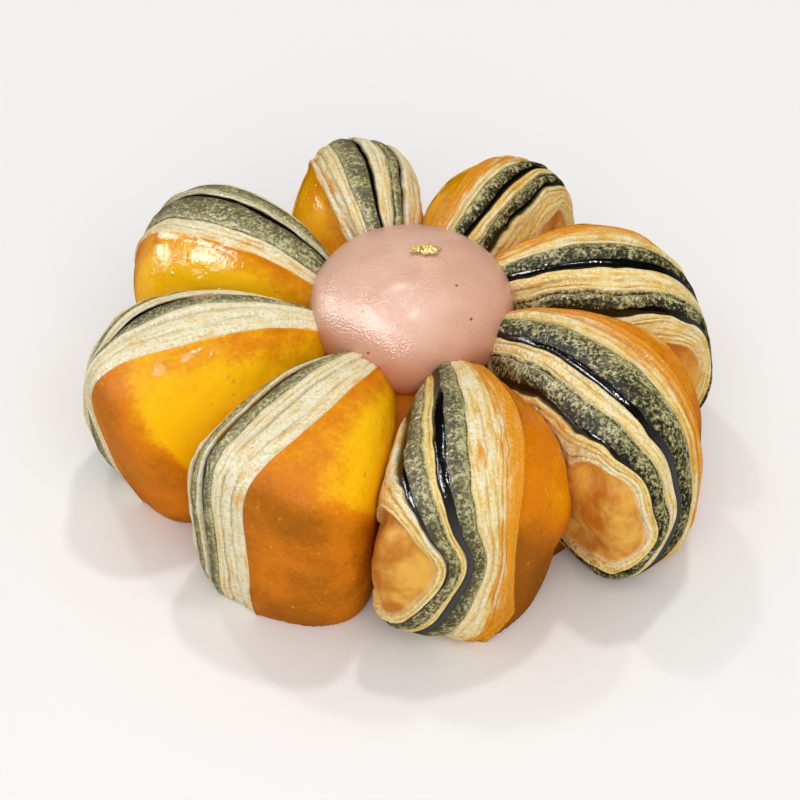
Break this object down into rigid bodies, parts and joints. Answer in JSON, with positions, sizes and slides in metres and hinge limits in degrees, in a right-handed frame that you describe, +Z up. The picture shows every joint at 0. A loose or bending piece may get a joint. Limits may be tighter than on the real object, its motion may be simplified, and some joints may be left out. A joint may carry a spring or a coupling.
{
  "type": "laminated flower pastry",
  "caption": "Flower-shaped laminated pastry: a ring of rolled petals with pale and dark layers on their cut sides and a glazed skin, around a smooth cream dome with a scrap of gold leaf.",
  "frame": {"origin": "centre of the flower, on the flat face that it rests on", "axes": "+Z up through the cream dome; -Y towards the front of the picture; +X to its right"},
  "size_m": [0.1212, 0.1182, 0.0446],
  "materials": {
    "baked_dough": "egg-washed golden skin with a clear sugar glaze; cut sides with pale flaky layers and dark sesame-coloured layers",
    "set_cream": "smooth pink-beige set cream, softly glossy, with a few fine dark specks",
    "gold_leaf": "crumpled edible gold leaf, bright and uneven"
  },
  "bodies": {
    "root": {"pastry": "baked_dough", "cream_dome": "set_cream"}
  },
  "joints": []
}
